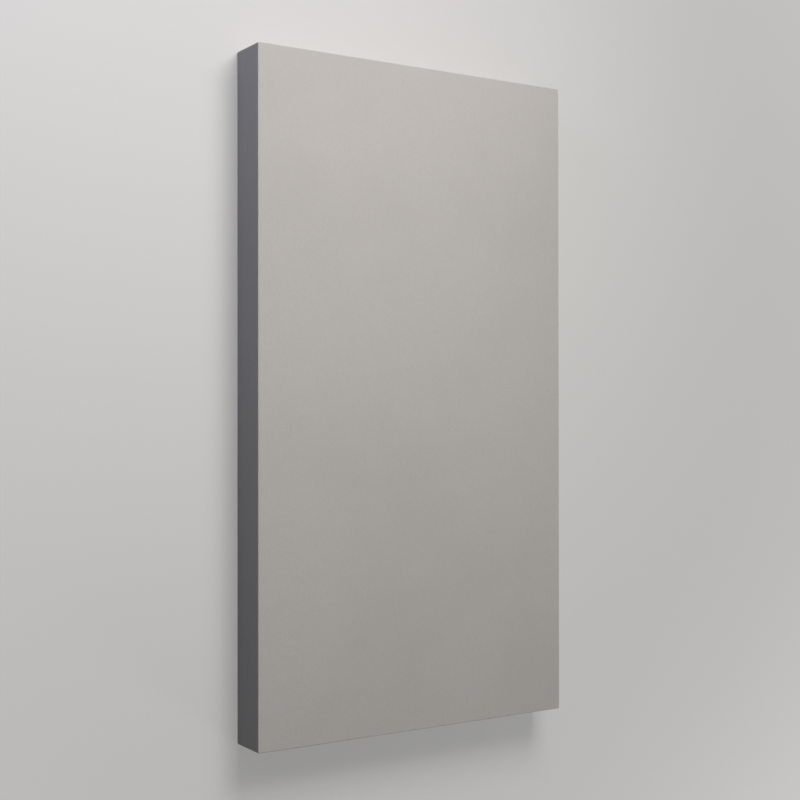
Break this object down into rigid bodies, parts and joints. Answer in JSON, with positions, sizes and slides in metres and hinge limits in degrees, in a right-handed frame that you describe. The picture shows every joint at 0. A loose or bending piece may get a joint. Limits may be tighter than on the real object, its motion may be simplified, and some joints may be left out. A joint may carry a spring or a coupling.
{
  "type": "acoustic wall panel",
  "caption": "Plain rectangular slab of off-white sound-absorbing foam board. Its flat back face goes against a wall, and the slab damps echo in the room.",
  "frame": {"origin": "centre of the back face, which the slab lies on", "axes": "+X across the width, +Y along the length towards the end that is uppermost on a wall, +Z out of the front face"},
  "size_m": [0.65, 1.2, 0.08],
  "materials": {
    "absorber_foam": "matt, fine open grain"
  },
  "bodies": {
    "root": {"absorber_slab": "absorber_foam"}
  },
  "joints": []
}
